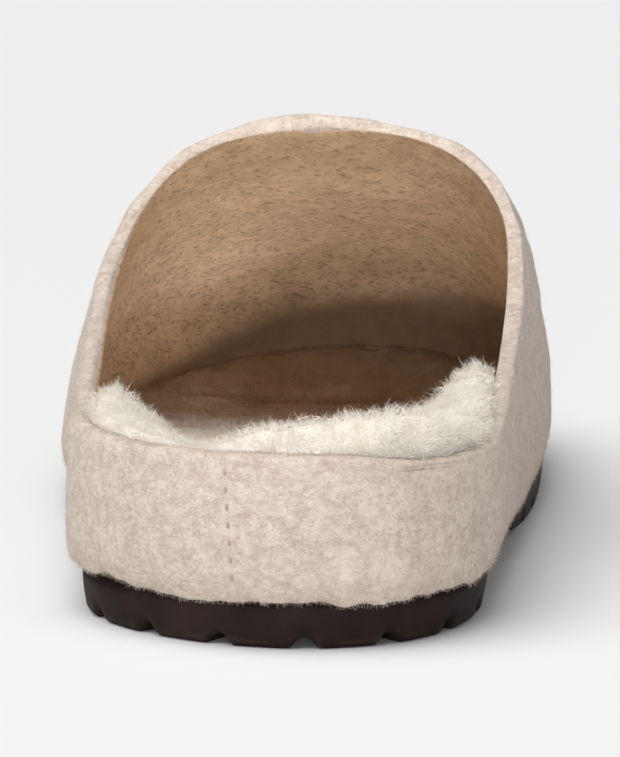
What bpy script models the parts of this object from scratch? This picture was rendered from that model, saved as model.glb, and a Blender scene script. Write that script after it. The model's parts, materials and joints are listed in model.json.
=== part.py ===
"""A left wool felt mule: a one-piece felt upper, a shearling footbed and a lugged outsole.

Run as a script it builds one object for each piece, in metres with Z up. The toe points to +Y and
the medial side, towards the other foot, to +X. The sizes below are millimetres measured from the
back of the heel and from the floor. They are scaled once, where the meshes are made.
"""

import bmesh
import bpy
import numpy as np

MM = 0.001
LATERAL, MEDIAL = -1, 1
SIDE_NAMES = {LATERAL: "lateral", MEDIAL: "medial"}

# Driving sizes of the last
LENGTH = 262.0  # felt, heel to toe
HEEL_Y = 40.0  # middle of the heel's round end
BALL_Y = 176.0  # middle of the toe's round end
THROAT_Y = 132.0  # where the opening meets the instep
HEEL_SWING = 3.5  # back of the heel, towards the medial side
TOE_SWING = 10.0  # tip of the toe, towards the medial side
TOE_SPRING = 7.0  # lift of the sole at the tip of the toe
SPRING_Y = 185.0  # where the toe starts to lift
TOE_POWER = 2.3  # squareness of the toe in plan, 2 is an ellipse
HEEL_POWER = {LATERAL: 1.85, MEDIAL: 2.1}  # squareness of the heel in plan
# Share of the half outline taken by the heel, the side and the toe
HEEL_ARC, SIDE_ARC, TOE_ARC = 60.0, 139.0, 120.0
HALF_ARC = HEEL_ARC + SIDE_ARC + TOE_ARC
FINE_STEPS = 601  # points of a line that is only measured
HALVINGS = 40  # steps of a search for a height

# Felt upper
FELT = 3.3  # wall
TUCK_IN = 3.4  # how far the felt's foot turns in under itself
TUCK_UP = 7.5  # height over which it turns in
TUCK_RISES = (0.0, 0.5, 2.0, 4.5, TUCK_UP)  # rows of the turned-in foot
EDGE_ROUND = 0.6  # crown of the cut edge along the opening
WALL_ROWS = 9  # rows from the turned-in foot up to the opening or the ridge
OPENING_COLUMNS = 28  # from the back of the heel to the throat, on each side
VAMP_COLUMNS = 16  # from the throat to the tip of the toe, on each side
THROAT_LEAN = 14.0  # how far ahead of the throat its column has its foot
LAP_EDGE = 7.0  # edge of the centre back lap, along the heel towards the lateral side
LAP_STEP = 0.8  # how far the lapped felt stands out
LAP_FADE = 18.0  # length over which the lap sinks into the wall
LAP_CLIFF = 0.6  # half the width of the slope at the lap's edge

# Outsole
SOLE = 7.3  # outsole, from the floor to the felt
SOLE_TAPER = 0.6  # its side leans in towards the floor
LUGS = 39  # around the edge
LUG_START = 1.05  # first notch, from the back of the heel along the medial side
LUG_DEPTH = 2.0  # of the notches between lugs
LUG_BEVEL = 0.9  # at the lugs' lower edges
LUG_REACH = 10.0  # length of a notch, from the edge towards the middle
LUG_RAMP = 2.5  # slope at a notch's inner end
SIDE_STEP = 4.4  # height of the line where the side starts to lean in
ARCH = 1.8  # the waist clears the floor
ARCH_START, ARCH_END = 72.0, 128.0
# Stations of one lug along the edge, and how deep the notch is there
LUG_STATIONS = ((0.0, 1.0), (0.07, 0.85), (0.17, 0.0), (0.5, 0.0), (0.83, 0.0), (0.93, 0.85))

# Shearling footbed
SEAT = 0.25  # clearance over the outsole
FIT = 0.3  # clearance inside the felt
SIDE_SHARES = (0.5, 1.0)  # rows of its side above the felt's turned-in foot
PILE_ROWS = (0.05, 0.12, 0.2, 0.29, 0.39, 0.5, 0.62, 0.8, 1.0)  # from the wall to the middle
UNDER_ROWS = (0.25, 0.5, 0.75, 1.0)
CREST, CUP = 0.16, 0.8  # shares of the way from wall to middle where the crest ends and the cup starts
EDGE_ROLL = 1.6  # the pile rolls down at the wall
EDGE_ROLL_ROW = 0.06
LOCKS = 170  # tufts of wool on the footbed
LOCK_RADIUS = 5.0
LOCK_HEIGHT = 2.6  # at the heel
LOCK_WEAR = 0.55  # share of that height lost towards the toe
PARTING = (-13.0, 7.0, 8.0, 3.2)  # x, y, radius and depth of the gap in the pile at the heel
GOLDEN_TURN = 0.61803398875


def table(columns, *rows):
    """One array for each named column of a table of sections."""
    return dict(zip(columns.split(), np.array(rows, dtype=float).T))


# Half width of the felt at its widest
WIDTH = table(
    "y lateral medial",
    (0.0, 36.0, 34.5),
    (40.0, 37.0, 37.4),
    (75.0, 38.2, 40.5),
    (110.0, 41.2, 44.0),
    (145.0, 45.2, 48.0),
    (176.0, 47.5, 50.0),
    (220.0, 47.5, 50.5),
    (262.0, 45.0, 49.0),
)
# Ridge of the closed form: sideways place, and height above the sole
RIDGE = table(
    "y x height",
    (0.0, 0.0, 95.0),
    (60.0, 2.0, 89.0),
    (100.0, 4.0, 80.0),
    (132.0, 5.5, 69.7),
    (176.0, 7.0, 54.0),
    (220.0, 9.0, 42.0),
    (262.0, 11.0, 34.0),
)
# Squareness of the felt's cross sections on each side, across and upwards
SECTION = table(
    "y lateral_across lateral_up medial_across medial_up",
    (0.0, 2.7, 1.95, 2.25, 4.9),
    (118.0, 2.7, 1.95, 2.25, 4.9),
    (150.0, 2.7, 1.95, 2.85, 3.4),
    (176.0, 2.5, 2.05, 3.4, 2.4),
    (262.0, 2.2, 2.2, 3.4, 2.4),
)
# Height of the opening's edge above the floor
OPENING = table(
    "y z",
    (0.0, 31.0),
    (30.0, 31.2),
    (55.0, 34.0),
    (80.0, 40.3),
    (100.0, 48.5),
    (118.0, 60.3),
    (132.0, 77.0),
)
# How far the sole's top edge lies inside the felt's widest line
SOLE_INSET = table(
    "y lateral medial",
    (0.0, 3.0, 3.0),
    (37.0, 3.0, 2.9),
    (60.0, 3.1, 3.6),
    (80.0, 3.2, 4.6),
    (105.0, 3.1, 3.2),
    (125.0, 3.0, 2.2),
    (176.0, 2.8, 1.6),
    (262.0, 2.8, 2.6),
)
# Top of the pile above the sole, along the middle and against the wall
PILE = table(
    "y middle lateral medial",
    (0.0, 12.0, 27.0, 28.0),
    (20.0, 11.5, 28.0, 29.5),
    (45.0, 11.0, 30.0, 30.5),
    (68.0, 10.5, 22.0, 29.5),
    (95.0, 10.0, 12.5, 15.0),
    (125.0, 9.5, 11.0, 11.5),
    (176.0, 8.5, 10.5, 10.5),
    (225.0, 6.5, 10.0, 10.0),
    (262.0, 5.5, 10.0, 10.0),
)

# Colours as linear red, green and blue, with roughness
FINISH = {
    "upper": ("felt", (0.62, 0.52, 0.43), 0.95),
    "insole": ("shearling", (0.80, 0.73, 0.65), 1.0),
    "outsole": ("sole", (0.031, 0.020, 0.016), 0.6),
}


def curve(sections, column, y):
    """A column of a section table as a smooth curve, read at y."""
    ys, values = sections["y"], sections[column]
    step = np.diff(ys)
    rate = np.diff(values) / step
    inside = (rate[:-1] * step[1:] + rate[1:] * step[:-1]) / (step[:-1] + step[1:])
    slope = np.concatenate([rate[:1], inside, rate[-1:]])
    y = np.clip(y, ys[0], ys[-1])
    i = np.clip(np.searchsorted(ys, y, side="right") - 1, 0, len(step) - 1)
    h = step[i]
    t = (y - ys[i]) / h
    start = (1 + 2 * t) * (1 - t) ** 2 * values[i] + t * (1 - t) ** 2 * h * slope[i]
    end = t * t * (3 - 2 * t) * values[i + 1] + t * t * (t - 1) * h * slope[i + 1]
    return start + end


def spring(y):
    """Lift of the sole towards the toe."""
    return TOE_SPRING * np.clip((y - SPRING_Y) / (LENGTH - SPRING_Y), 0, 1) ** 2


def sole_top(y):
    return SOLE + spring(y)


def turns(u):
    """Angles run through in the heel's and the toe's round ends, and the share of the side."""
    along = np.asarray(u, dtype=float) * HALF_ARC
    heel = np.clip(along / HEEL_ARC, 0, 1) * np.pi / 2
    side = np.clip((along - HEEL_ARC) / SIDE_ARC, 0, 1)
    toe = np.clip((along - HEEL_ARC - SIDE_ARC) / TOE_ARC, 0, 1) * np.pi / 2
    return heel, side, toe


def outline(side, u):
    """Widest line of the felt on one side, from the heel (u = 0) to the toe (u = 1), in plan."""
    heel, share, toe = turns(u)
    heel_power, toe_power = 2 / HEEL_POWER[side], 2 / TOE_POWER
    y = HEEL_Y + (BALL_Y - HEEL_Y) * share
    y = y - HEEL_Y * np.abs(np.cos(heel)) ** heel_power
    y = y + (LENGTH - BALL_Y) * np.sin(toe) ** toe_power
    reach = np.sin(heel) ** heel_power * np.abs(np.cos(toe)) ** toe_power
    x = side * curve(WIDTH, SIDE_NAMES[side], y) * reach
    x = x + TOE_SWING * np.sin(toe) ** 2 + HEEL_SWING * np.cos(heel) ** 2
    return np.stack([x, y], -1)


def axis(u):
    """Point of the ridge, in plan, that the section through u leans towards."""
    _, share, _ = turns(u)
    y = HEEL_Y + (BALL_Y - HEEL_Y) * share
    return np.stack([curve(RIDGE, "x", y), y], -1)


def at_side(y):
    """Where along the half outline the straight side passes y."""
    return (HEEL_ARC + SIDE_ARC * (y - HEEL_Y) / (BALL_Y - HEEL_Y)) / HALF_ARC


def form(side, u, v):
    """The closed form over the sole: v is 0 at the widest line and 1 on the ridge.

    The two sides share one section at the heel's and the toe's middle.
    """
    edge, middle = outline(side, u), axis(u)
    heel, _, toe = turns(u)
    own = (np.sin(heel) * np.cos(toe)) ** 2
    powers = []
    for way in ("across", "up"):
        here = curve(SECTION, f"{SIDE_NAMES[side]}_{way}", middle[..., 1])
        there = curve(SECTION, f"{SIDE_NAMES[-side]}_{way}", middle[..., 1])
        powers.append((here + there) / 2 + own * (here - there) / 2)
    across, upwards = powers
    turn = np.clip(v, 0, 1) * np.pi / 2
    reach = np.abs(np.cos(turn)) ** (2 / across)
    plan = middle + (edge - middle) * reach[..., None]
    rise = curve(RIDGE, "height", plan[..., 1]) * np.sin(turn) ** (2 / upwards)
    return np.concatenate([plan, (sole_top(plan[..., 1]) + rise)[..., None]], -1)


def v_at(side, u, z):
    """The v where the form passes height z."""
    low, high = np.zeros_like(u), np.ones_like(u)
    for _ in range(HALVINGS):
        middle = (low + high) / 2
        below = form(side, u, middle)[..., 2] < z
        low, high = np.where(below, middle, low), np.where(below, high, middle)
    return (low + high) / 2


def lengths(line):
    """Length run through at each point of a line."""
    return np.concatenate([[0.0], np.cumsum(np.linalg.norm(np.diff(line, axis=0), axis=1))])


def opening_stations(side, share):
    """Where the columns meet the opening's edge: upright at the heel and wider apart at the throat."""
    ground = lengths(outline(side, np.linspace(0, at_side(THROAT_Y + THROAT_LEAN), FINE_STEPS)))[-1]
    u = at_side(THROAT_Y) * (1 - np.linspace(1, 0, FINE_STEPS) ** 2)
    v = v_at(side, u, curve(OPENING, "z", outline(side, u)[..., 1]))
    v[-1] = 1.0
    run = lengths(form(side, u, v))
    return np.interp(ground * share + (run[-1] - ground) * share**2, run, u)


def half_columns(side):
    """Foot, top and top v of each column of one side of the upper, from the heel to the toe."""
    foot_throat, top_throat = at_side(THROAT_Y + THROAT_LEAN), at_side(THROAT_Y)
    share = np.linspace(0, 1, OPENING_COLUMNS + 1)
    if side == LATERAL:
        lap = LAP_EDGE / HALF_ARC / foot_throat
        cliff = LAP_CLIFF / HALF_ARC / foot_throat
        share = np.concatenate([[0.0, lap - cliff, lap + cliff], share[3:]])
    vamp = np.linspace(0, 1, VAMP_COLUMNS + 1)[1:]
    foot = np.concatenate([foot_throat * share, foot_throat + (1 - foot_throat) * vamp])
    top = np.concatenate([opening_stations(side, share), top_throat + (1 - top_throat) * vamp])
    edge_y = outline(side, top)[..., 1]
    reach = v_at(side, top, curve(OPENING, "z", edge_y))
    reach[len(share) - 1 :] = 1.0
    return foot, top, reach


def half_wall(side):
    """Outer face of one side before its foot is turned in: points and where each leans to."""
    foot, top, reach = half_columns(side)
    edge_z = sole_top(outline(side, foot)[..., 1])
    tucks = []
    for rise in TUCK_RISES:
        v = v_at(side, foot, edge_z + rise)
        u = foot + (top - foot) * v / reach
        tucks.append((u, v_at(side, u, sole_top(outline(side, u)[..., 1]) + rise)))
    start_v = tucks[-1][1]
    walls = []
    for share in np.linspace(0, 1, WALL_ROWS + 1)[1:]:
        v = start_v + (reach - start_v) * share
        walls.append((foot + (top - foot) * v / reach, v))
    rows = tucks + walls
    points = np.stack([form(side, u, v) for u, v in rows], 1)
    lean = np.stack([axis(u) - outline(side, u) for u, _ in rows], 1)
    return points, lean / np.linalg.norm(lean, axis=-1, keepdims=True), foot


def weld(points):
    """Points with those at one place made one, and the number of each place."""
    places, numbers = np.unique(np.round(points.reshape(-1, 3), 5), axis=0, return_inverse=True)
    return places, numbers.reshape(points.shape[:-1])


def sheet(numbers):
    """Triangles between neighbouring rows and columns, without the ones closed to a line."""
    a, b = numbers[:-1, :-1].ravel(), numbers[1:, :-1].ravel()
    c, d = numbers[1:, 1:].ravel(), numbers[:-1, 1:].ravel()
    faces = np.concatenate([np.stack([a, b, c], -1), np.stack([a, c, d], -1)])
    whole = (faces[:, 0] != faces[:, 1]) & (faces[:, 1] != faces[:, 2]) & (faces[:, 2] != faces[:, 0])
    return faces[whole]


def normals(points):
    """Normals of a sheet of points, shared where the sheet meets itself, outwards at the heel."""
    places, numbers = weld(points)
    faces = sheet(numbers)
    corners = places[faces]
    pull = np.cross(corners[:, 1] - corners[:, 0], corners[:, 2] - corners[:, 0])
    total = np.zeros_like(places)
    for corner in range(3):
        np.add.at(total, faces[:, corner], pull)
    total /= np.linalg.norm(total, axis=1, keepdims=True)
    shared = total[numbers]
    heel = np.argmin(points[:, 0, 1])
    return shared * -np.sign(shared[heel, 0, 1])


def tucked(points, lean, base):
    """Points with the felt's foot turned in under itself."""
    low = np.clip(1 - (points[..., 2] - base[:, None]) / TUCK_UP, 0, 1)
    turn = TUCK_IN * (1 - np.sqrt(1 - low**2))
    moved = points.copy()
    moved[..., :2] += lean * turn[..., None]
    return moved


def seat(points, clearance):
    """Set points down on the sole's top."""
    return np.concatenate([points[..., :2], (sole_top(points[..., 1]) + clearance)[..., None]], -1)


def wall():
    """Outer and inner faces of the felt, a column at a time from toe to heel to toe."""
    lateral, lateral_lean, lateral_foot = half_wall(LATERAL)
    medial, medial_lean, medial_foot = half_wall(MEDIAL)
    points = np.concatenate([lateral[::-1], medial[1:]])
    lean = np.concatenate([lateral_lean[::-1], medial_lean[1:]])
    foot = np.concatenate([lateral_foot[::-1], medial_foot[1:]])
    side = np.where(np.arange(len(points)) < len(lateral), LATERAL, MEDIAL)
    outward = normals(points)
    base = points[:, 0, 2]
    past = foot * HALF_ARC - LAP_EDGE
    lap = LAP_STEP * np.clip(1 - past / LAP_FADE, 0, 1) ** 2 * (past > 0) * (side == LATERAL)
    inner = points - outward * FELT
    inner[:, 0] = seat(inner[:, 0], 0.0)
    outer = tucked(points + outward * lap[:, None, None], lean, base)
    inner = tucked(inner, lean, base)
    outer[:, 0] = seat(outer[:, 0], SEAT)
    inner[:, 0] = seat(inner[:, 0], SEAT)
    return outer, inner, foot, side


def upper():
    """Felt shell: outer face, inner face, and the rims at the opening and over the sole."""
    outer, inner, _, _ = wall()
    first, last = VAMP_COLUMNS, len(outer) - 1 - VAMP_COLUMNS
    climb = outer[first : last + 1, -1] - outer[first : last + 1, -2]
    climb /= np.linalg.norm(climb, axis=1, keepdims=True)
    climb[0] = climb[-1] = (climb[0] + climb[-1]) / np.linalg.norm(climb[0] + climb[-1])
    rim = (outer + inner)[first : last + 1, -1] / 2 + climb * EDGE_ROUND
    count = outer.shape[0] * outer.shape[1]
    flat = np.concatenate([outer.reshape(-1, 3), inner.reshape(-1, 3), rim])
    places, numbers = weld(flat)
    out = numbers[:count].reshape(outer.shape[:2])
    into = numbers[count : 2 * count].reshape(inner.shape[:2])
    edge = numbers[2 * count :]
    cut = np.stack([out[first : last + 1, -1], edge, into[first : last + 1, -1]])
    foot = np.stack([out[:, 0], into[:, 0]])
    return places, np.concatenate([sheet(out), sheet(into), sheet(cut), sheet(foot)])


def along(column, z):
    """Point of a column of the wall at height z, run straight on past its top."""
    heights = column[:, 2]
    j = np.clip(np.searchsorted(heights, z) - 1, 0, len(heights) - 2)
    share = (z - heights[j]) / (heights[j + 1] - heights[j])
    return column[j] + (column[j + 1] - column[j]) * share


def locks(plan):
    """Height of the wool's tufts, spread evenly over the footbed, and of the gap at the heel."""
    i = np.arange(LOCKS)
    spots_y = LENGTH * (i + 0.5) / LOCKS
    sway = (i * GOLDEN_TURN) % 1 * 2 - 1
    half = np.where(sway < 0, curve(WIDTH, "lateral", spots_y), curve(WIDTH, "medial", spots_y))
    spots = np.stack([sway * half, spots_y], -1)
    away = np.linalg.norm(plan[..., None, :] - spots, axis=-1)
    tufts = np.exp(-((away / LOCK_RADIUS) ** 2)).sum(-1)
    x, y, radius, depth = PARTING
    gap = np.exp(-(((plan[..., 0] - x) ** 2 + (plan[..., 1] - y) ** 2) / radius**2))
    height = LOCK_HEIGHT * (1 - LOCK_WEAR * np.clip(plan[..., 1] / BALL_Y, 0, 1))
    return height * np.minimum(tufts, 1.0) - depth * gap


def insole():
    """Shearling footbed: it fills the felt's foot, cups the heel and carries tufts of pile."""
    _, inner, foot, side = wall()
    inward = -normals(inner)
    fitted = inner + inward * FIT
    fitted[:, 0] = seat(fitted[:, 0], SEAT)
    turned = len(TUCK_RISES)
    names = [SIDE_NAMES[s] for s in side]
    edge_y = inner[:, turned - 1, 1]
    rim = np.array([curve(PILE, name, y) for name, y in zip(names, edge_y)])
    rim_z = sole_top(edge_y) + rim - EDGE_ROLL
    start_z = fitted[:, turned - 1, 2]
    middle = axis(foot)
    rows = [fitted[:, j] for j in range(turned)]
    for share in SIDE_SHARES:
        heights = start_z + (rim_z - start_z) * share
        rows.append(np.stack([along(column, z) for column, z in zip(fitted, heights)]))
    edge = rows[-1]
    for t in PILE_ROWS:
        plan = edge[:, :2] + (middle - edge[:, :2]) * t
        low = curve(PILE, "middle", plan[:, 1])
        fall = np.clip((t - CREST) / (CUP - CREST), 0, 1)
        cup = low + (rim - low) * (1 - fall * fall * (3 - 2 * fall))
        roll = np.exp(-((t / EDGE_ROLL_ROW) ** 2))
        z = sole_top(plan[:, 1]) + cup - EDGE_ROLL * roll + locks(plan) * (1 - roll)
        rows.append(np.concatenate([plan, z[:, None]], -1))
    under = []
    for t in UNDER_ROWS:
        plan = rows[0][:, :2] + (middle - rows[0][:, :2]) * t
        under.append(np.concatenate([plan, (sole_top(plan[:, 1]) + SEAT)[:, None]], -1))
    places, numbers = weld(np.stack(under[::-1] + rows, 1))
    return places, sheet(numbers)


def edge_line():
    """Closed line of the sole's edge, finely stepped, with its outward normals and insets."""
    u = np.linspace(0, 1, FINE_STEPS)
    plan = np.concatenate([outline(MEDIAL, u), outline(LATERAL, u)[-2:0:-1]])
    run = np.roll(plan, -1, axis=0) - np.roll(plan, 1, axis=0)
    run /= np.linalg.norm(run, axis=1, keepdims=True)
    out = np.stack([run[:, 1], -run[:, 0]], -1)
    medial = np.arange(len(plan)) < len(u)
    insets = [curve(SOLE_INSET, SIDE_NAMES[side], plan[:, 1]) for side in (MEDIAL, LATERAL)]
    return plan, out, np.where(medial, *insets)


def edge_stations():
    """Stations along the sole's edge, a few for each lug, and how deep its notch is there."""
    plan, out, inset = edge_line()
    line = plan - out * inset[:, None]
    closed = np.concatenate([line, line[:1]])
    length = lengths(closed)
    shares, depths = zip(*LUG_STATIONS)
    spots = (np.arange(LUGS)[:, None] + np.array(shares)).ravel() / LUGS * length[-1]
    spots = (spots + LUG_START) % length[-1]
    around = np.concatenate([out, out[:1]])
    at = np.stack([np.interp(spots, length, closed[:, i]) for i in range(2)], -1)
    facing = np.stack([np.interp(spots, length, around[:, i]) for i in range(2)], -1)
    facing /= np.linalg.norm(facing, axis=1, keepdims=True)
    return at, facing, np.tile(depths, LUGS)


def sole_bottom(y):
    """Height of the tread: flat under heel and ball, lifted at the waist and the toe."""
    share = np.clip((y - ARCH_START) / (ARCH_END - ARCH_START), 0, 1)
    return ARCH * np.sin(np.pi * share) ** 2 + spring(y)


def outsole():
    """Outsole: plain side, lugs around the edge, and a plain field inside them."""
    at, facing, depth = edge_stations()
    notch = LUG_DEPTH * depth
    rings = []

    def ring(inset, above, height):
        plan = at - facing * inset
        rings.append(np.concatenate([plan, (above(plan[:, 1]) + height)[:, None]], -1))

    ring(0.0, sole_top, 0.0)
    ring(0.0, sole_bottom, SIDE_STEP)
    ring(SOLE_TAPER, sole_bottom, notch + LUG_BEVEL)
    ring(SOLE_TAPER + LUG_BEVEL, sole_bottom, notch)
    ring(LUG_REACH, sole_bottom, notch)
    ring(LUG_REACH + LUG_RAMP, sole_bottom, 0.0)
    places, numbers = weld(np.stack(rings, 1))
    closed = np.concatenate([numbers, numbers[:1]])
    half = len(numbers) // 2
    caps = []
    for row in (0, -1):
        loop = closed[:, row]
        caps.append(sheet(np.stack([loop[: half + 1], loop[: half - 1 : -1]])))
    return places, np.concatenate([sheet(closed)] + caps)


def clear_scene():
    for item in list(bpy.data.objects):
        bpy.data.objects.remove(item, do_unlink=True)


def finish(node):
    """Plain material of one piece."""
    name, colour, roughness = FINISH[node]
    material = bpy.data.materials.new(name)
    material.use_nodes = True
    shader = material.node_tree.nodes["Principled BSDF"]
    shader.inputs["Base Color"].default_value = (*colour, 1.0)
    shader.inputs["Roughness"].default_value = roughness
    shader.inputs["Metallic"].default_value = 0.0
    return material


def solid(node, places, faces, shift):
    """One closed object in metres, with its faces turned outwards."""
    mesh = bpy.data.meshes.new(node)
    mesh.from_pydata(((places + shift) * MM).tolist(), [], faces.tolist())
    shape = bmesh.new()
    shape.from_mesh(mesh)
    bmesh.ops.recalc_face_normals(shape, faces=shape.faces)
    shape.to_mesh(mesh)
    shape.free()
    mesh.shade_smooth()
    mesh.materials.append(finish(node))
    item = bpy.data.objects.new(node, mesh)
    bpy.context.scene.collection.objects.link(item)


def main():
    clear_scene()
    pieces = {"outsole": outsole(), "upper": upper(), "insole": insole()}
    corners = np.concatenate([places for places, _ in pieces.values()])
    middle = (corners.min(0) + corners.max(0)) / 2
    shift = np.array([-middle[0], -middle[1], 0.0])
    for node, (places, faces) in pieces.items():
        solid(node, places, faces, shift)


main()
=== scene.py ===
"""Looks of the left felt mule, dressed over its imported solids.

The felt shell, the footbed and the outsole are rounded copies of the solids. Wool pile, nap, stitches and
the finish of each surface are added here. Sizes are metres in the frame of the solids: +Y is towards the
toe, +X to the medial side, and the floor is at zero. Two values named after an axis, a gap or a facing are
where a smooth step along it starts and ends.
"""

import json
import math

import bmesh
import bpy
import numpy as np
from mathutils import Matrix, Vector
from mathutils.bvhtree import BVHTree

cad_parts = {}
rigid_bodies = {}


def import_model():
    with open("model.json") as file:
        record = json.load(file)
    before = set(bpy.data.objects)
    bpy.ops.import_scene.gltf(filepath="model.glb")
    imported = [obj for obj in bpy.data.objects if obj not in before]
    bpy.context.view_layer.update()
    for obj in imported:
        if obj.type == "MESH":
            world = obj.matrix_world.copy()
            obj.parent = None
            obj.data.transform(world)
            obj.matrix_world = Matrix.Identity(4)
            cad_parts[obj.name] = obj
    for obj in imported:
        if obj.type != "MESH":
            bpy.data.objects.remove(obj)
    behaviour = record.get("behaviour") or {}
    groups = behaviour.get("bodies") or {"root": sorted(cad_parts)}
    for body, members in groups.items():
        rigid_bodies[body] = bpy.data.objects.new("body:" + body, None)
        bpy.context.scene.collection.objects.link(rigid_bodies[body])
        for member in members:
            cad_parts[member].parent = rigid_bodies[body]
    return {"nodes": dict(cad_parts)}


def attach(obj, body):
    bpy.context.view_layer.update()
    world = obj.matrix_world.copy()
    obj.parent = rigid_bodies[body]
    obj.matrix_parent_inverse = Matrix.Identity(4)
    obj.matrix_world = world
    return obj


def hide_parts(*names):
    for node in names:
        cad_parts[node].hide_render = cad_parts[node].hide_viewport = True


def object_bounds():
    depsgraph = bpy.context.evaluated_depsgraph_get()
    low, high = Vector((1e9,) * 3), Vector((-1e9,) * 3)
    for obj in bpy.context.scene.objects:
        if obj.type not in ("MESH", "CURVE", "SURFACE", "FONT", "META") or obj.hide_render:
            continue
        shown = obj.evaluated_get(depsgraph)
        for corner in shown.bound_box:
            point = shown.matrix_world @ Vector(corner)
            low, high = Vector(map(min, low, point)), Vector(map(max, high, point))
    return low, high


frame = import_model()
CAD_BOX = [list(corner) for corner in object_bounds()]

BODY = "root"
HEEL_BACK = CAD_BOX[0][1]  # y of the back of the heel
WELD = 1e-6  # distance at which the solids' loose corners are one
JOIN_BEND, JOIN_SKEW = math.radians(50), math.radians(70)  # limits for joining two triangles to a quad
WAVE_COUNT = 28  # plane waves in a random field
WAVE_SPREAD = (0.7, 1.3)  # their pitch against the field's own

# Camera, as fitted to the photograph
IMAGE_WIDTH, IMAGE_HEIGHT = 620, 757
CAMERA_AT = Vector((0.0192, -0.8307, 0.1385))
CAMERA_AIM = Vector((0.0015, -0.0107, 0.0287))
FOCAL_PIXELS = 4430.0
SENSOR = 36.0
CLIP_START, CLIP_END = 0.05, 20.0

# Light: a broad soft key from high up, a low soft panel behind the camera, two narrow spots that cross in the
# opening, an even sky, and two small hidden panels in the toe that stand for light thrown back off the
# footbed. A panel has a name, a place, the way it faces, its size and its power.
KEY_WAY = (0.30, 0.22, -0.93)
KEY_POWER = 2.4
KEY_ANGLE = math.radians(60)
LOW_PANEL = ("low_panel", (-0.02, -2.1, 0.20), (0.02, 2.1, 0.0), (1.2, 0.40), 19.5)
INNER_PANELS = (
    ("inner_fill", (0.003, 0.045, 0.0245), (-0.30, 0.0, 1.0), (0.100, 0.044), 0.0038),
    ("side_fill", (-0.008, 0.060, 0.0250), (-1.0, 0.0, 0.55), (0.070, 0.010), 0.0021),
)
SPOTS = (((0.22, -1.2, 0.086), 25.0), ((-0.22, -1.2, 0.086), 34.0))  # places and powers
SPOT_AIM = (0.001, -0.045, 0.0605)
SPOT_CONE = math.radians(2.4)
SPOT_BLEND = 0.3
SPOT_RADIUS = 0.03
SKY = 0.34
FLOOR_HALF = 6.0
FLOOR_COLOUR = (0.83, 0.83, 0.83, 1)
FLOOR_ROUGHNESS = 0.9

# Middle line of the foot in plan, from the heel's round end to the toe's, and of the hollow in the felt
AXIS_HEEL = (0.0, -0.091)
AXIS_BALL = (0.0055, 0.045)
HOLLOW_END, HOLLOW_HEIGHT = 0.070, 0.035  # last y of the hollow's middle line, and its height
INSIDE_FACING = 0.3  # how squarely the inside of the felt faces the hollow at least

# Felt
FELT_LEVELS = 2
FELT_WAVES = ((0.030, 0.00022), (0.009, 0.00012))  # wavelength and height of the shell's unevenness
INNER_CALM = 0.9  # share of the unevenness that the inside lacks
SKIVE = 0.0016  # how much thinner the felt is at the top of the throat
THROAT_Y, THROAT_Z = (0.015, -0.015), (0.050, 0.068)
RIM_TILT = ((-0.032, 0.0016), (-0.020, 0.0009), (0.008, 0.0009), (0.026, -0.0012))  # x and lift of the back rim
RIM_Y, RIM_Z = (-0.078, -0.098), (0.019, 0.030)
FOOT_WAVE = (0.0055, 0.0003)  # wavelength and height of the felt's uneven lower edge
FOOT_Z = (0.0150, 0.0095)
FOOT_SEED = 7
BACK_Y = -0.1  # the back of the heel lies behind this
SCUFF = (0.011, 0.0128, 0.012, 0.0030, 0.55)  # middle and half sizes of the scuffed patch in x and z, strength
TOE_SHADE_LINE = (0.0268, 0.42, 0.13)  # height under which the toe's inside gets painted shade, lateral fall and medial rise
TOE_SHADE_BEND = -0.005  # x where that line starts to fall
TOE_SHADE_EDGE, TOE_SHADE_Y = (0.0040, -0.0030), (0.0, 0.04)
LINING_LIGHT_SHARES = (0.8, 0.2, 0.7)  # how much painted light brightens the lining at the toe, less at its medial side, more laterally
LINING_LIGHT_Y, LINING_LIGHT_MEDIAL_X, LINING_LIGHT_LATERAL_X = (0.005, 0.045), (-0.005, 0.030), (-0.008, -0.030)
FOLD_BEHIND = (0.100, 0.112)  # distance behind the middle from which the lap and the crease show
LAP_LINE = (-0.0037, -0.025)  # x of the lap's edge on the floor and its slope with z
LAP_EDGE, LAP_FADE, LAP_HEIGHT = 0.0009, (0.001, 0.012), -0.30
CREASE_LINE = (0.0302, -0.045)  # z of the crease under the rim and its slope with x
CREASE_ENDS, CREASE_FADES = (0.0165, 0.0290), (0.004, 0.003)
CREASE_WIDTH, CREASE_DEPTH = 0.0006, 0.5

# Nap
NAP_FIBRES = 43000
NAP_SHAPES = 12
NAP_LENGTH = 0.0011
NAP_WIDTH = 0.000035
NAP_BOW = 0.22
NAP_RISE = (0.3, 1.5)
NAP_FOOT_Z, NAP_FOOT_FACING = (0.012, 0.009), 0.2
NAP_FOOT_MORE, NAP_FOOT_LONGER = 7, 1.2
NAP_TILT = 0.25
NAP_REACH = (0.7, 1.4)
NAP_SHAPE_SEED, NAP_SEED = 21, 31

# Centre back seam, stitched through the lap: x and z of its ends, seen from behind
SEAM_TOP = (-0.0097, 0.0292)
SEAM_FOOT = (-0.0086, 0.0120)
SEAM_LOOK = 0.05  # how far behind the heel the look for the seam starts
STITCH_PITCH = 0.0026
STITCH_LENGTH = 0.0013
STITCH_THICK = 0.0007
STITCH_SUNK = 0.0001
STITCH_DIMPLE = (0.0012, 0.00045)  # radius and depth of the felt pulled in at a stitch

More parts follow.
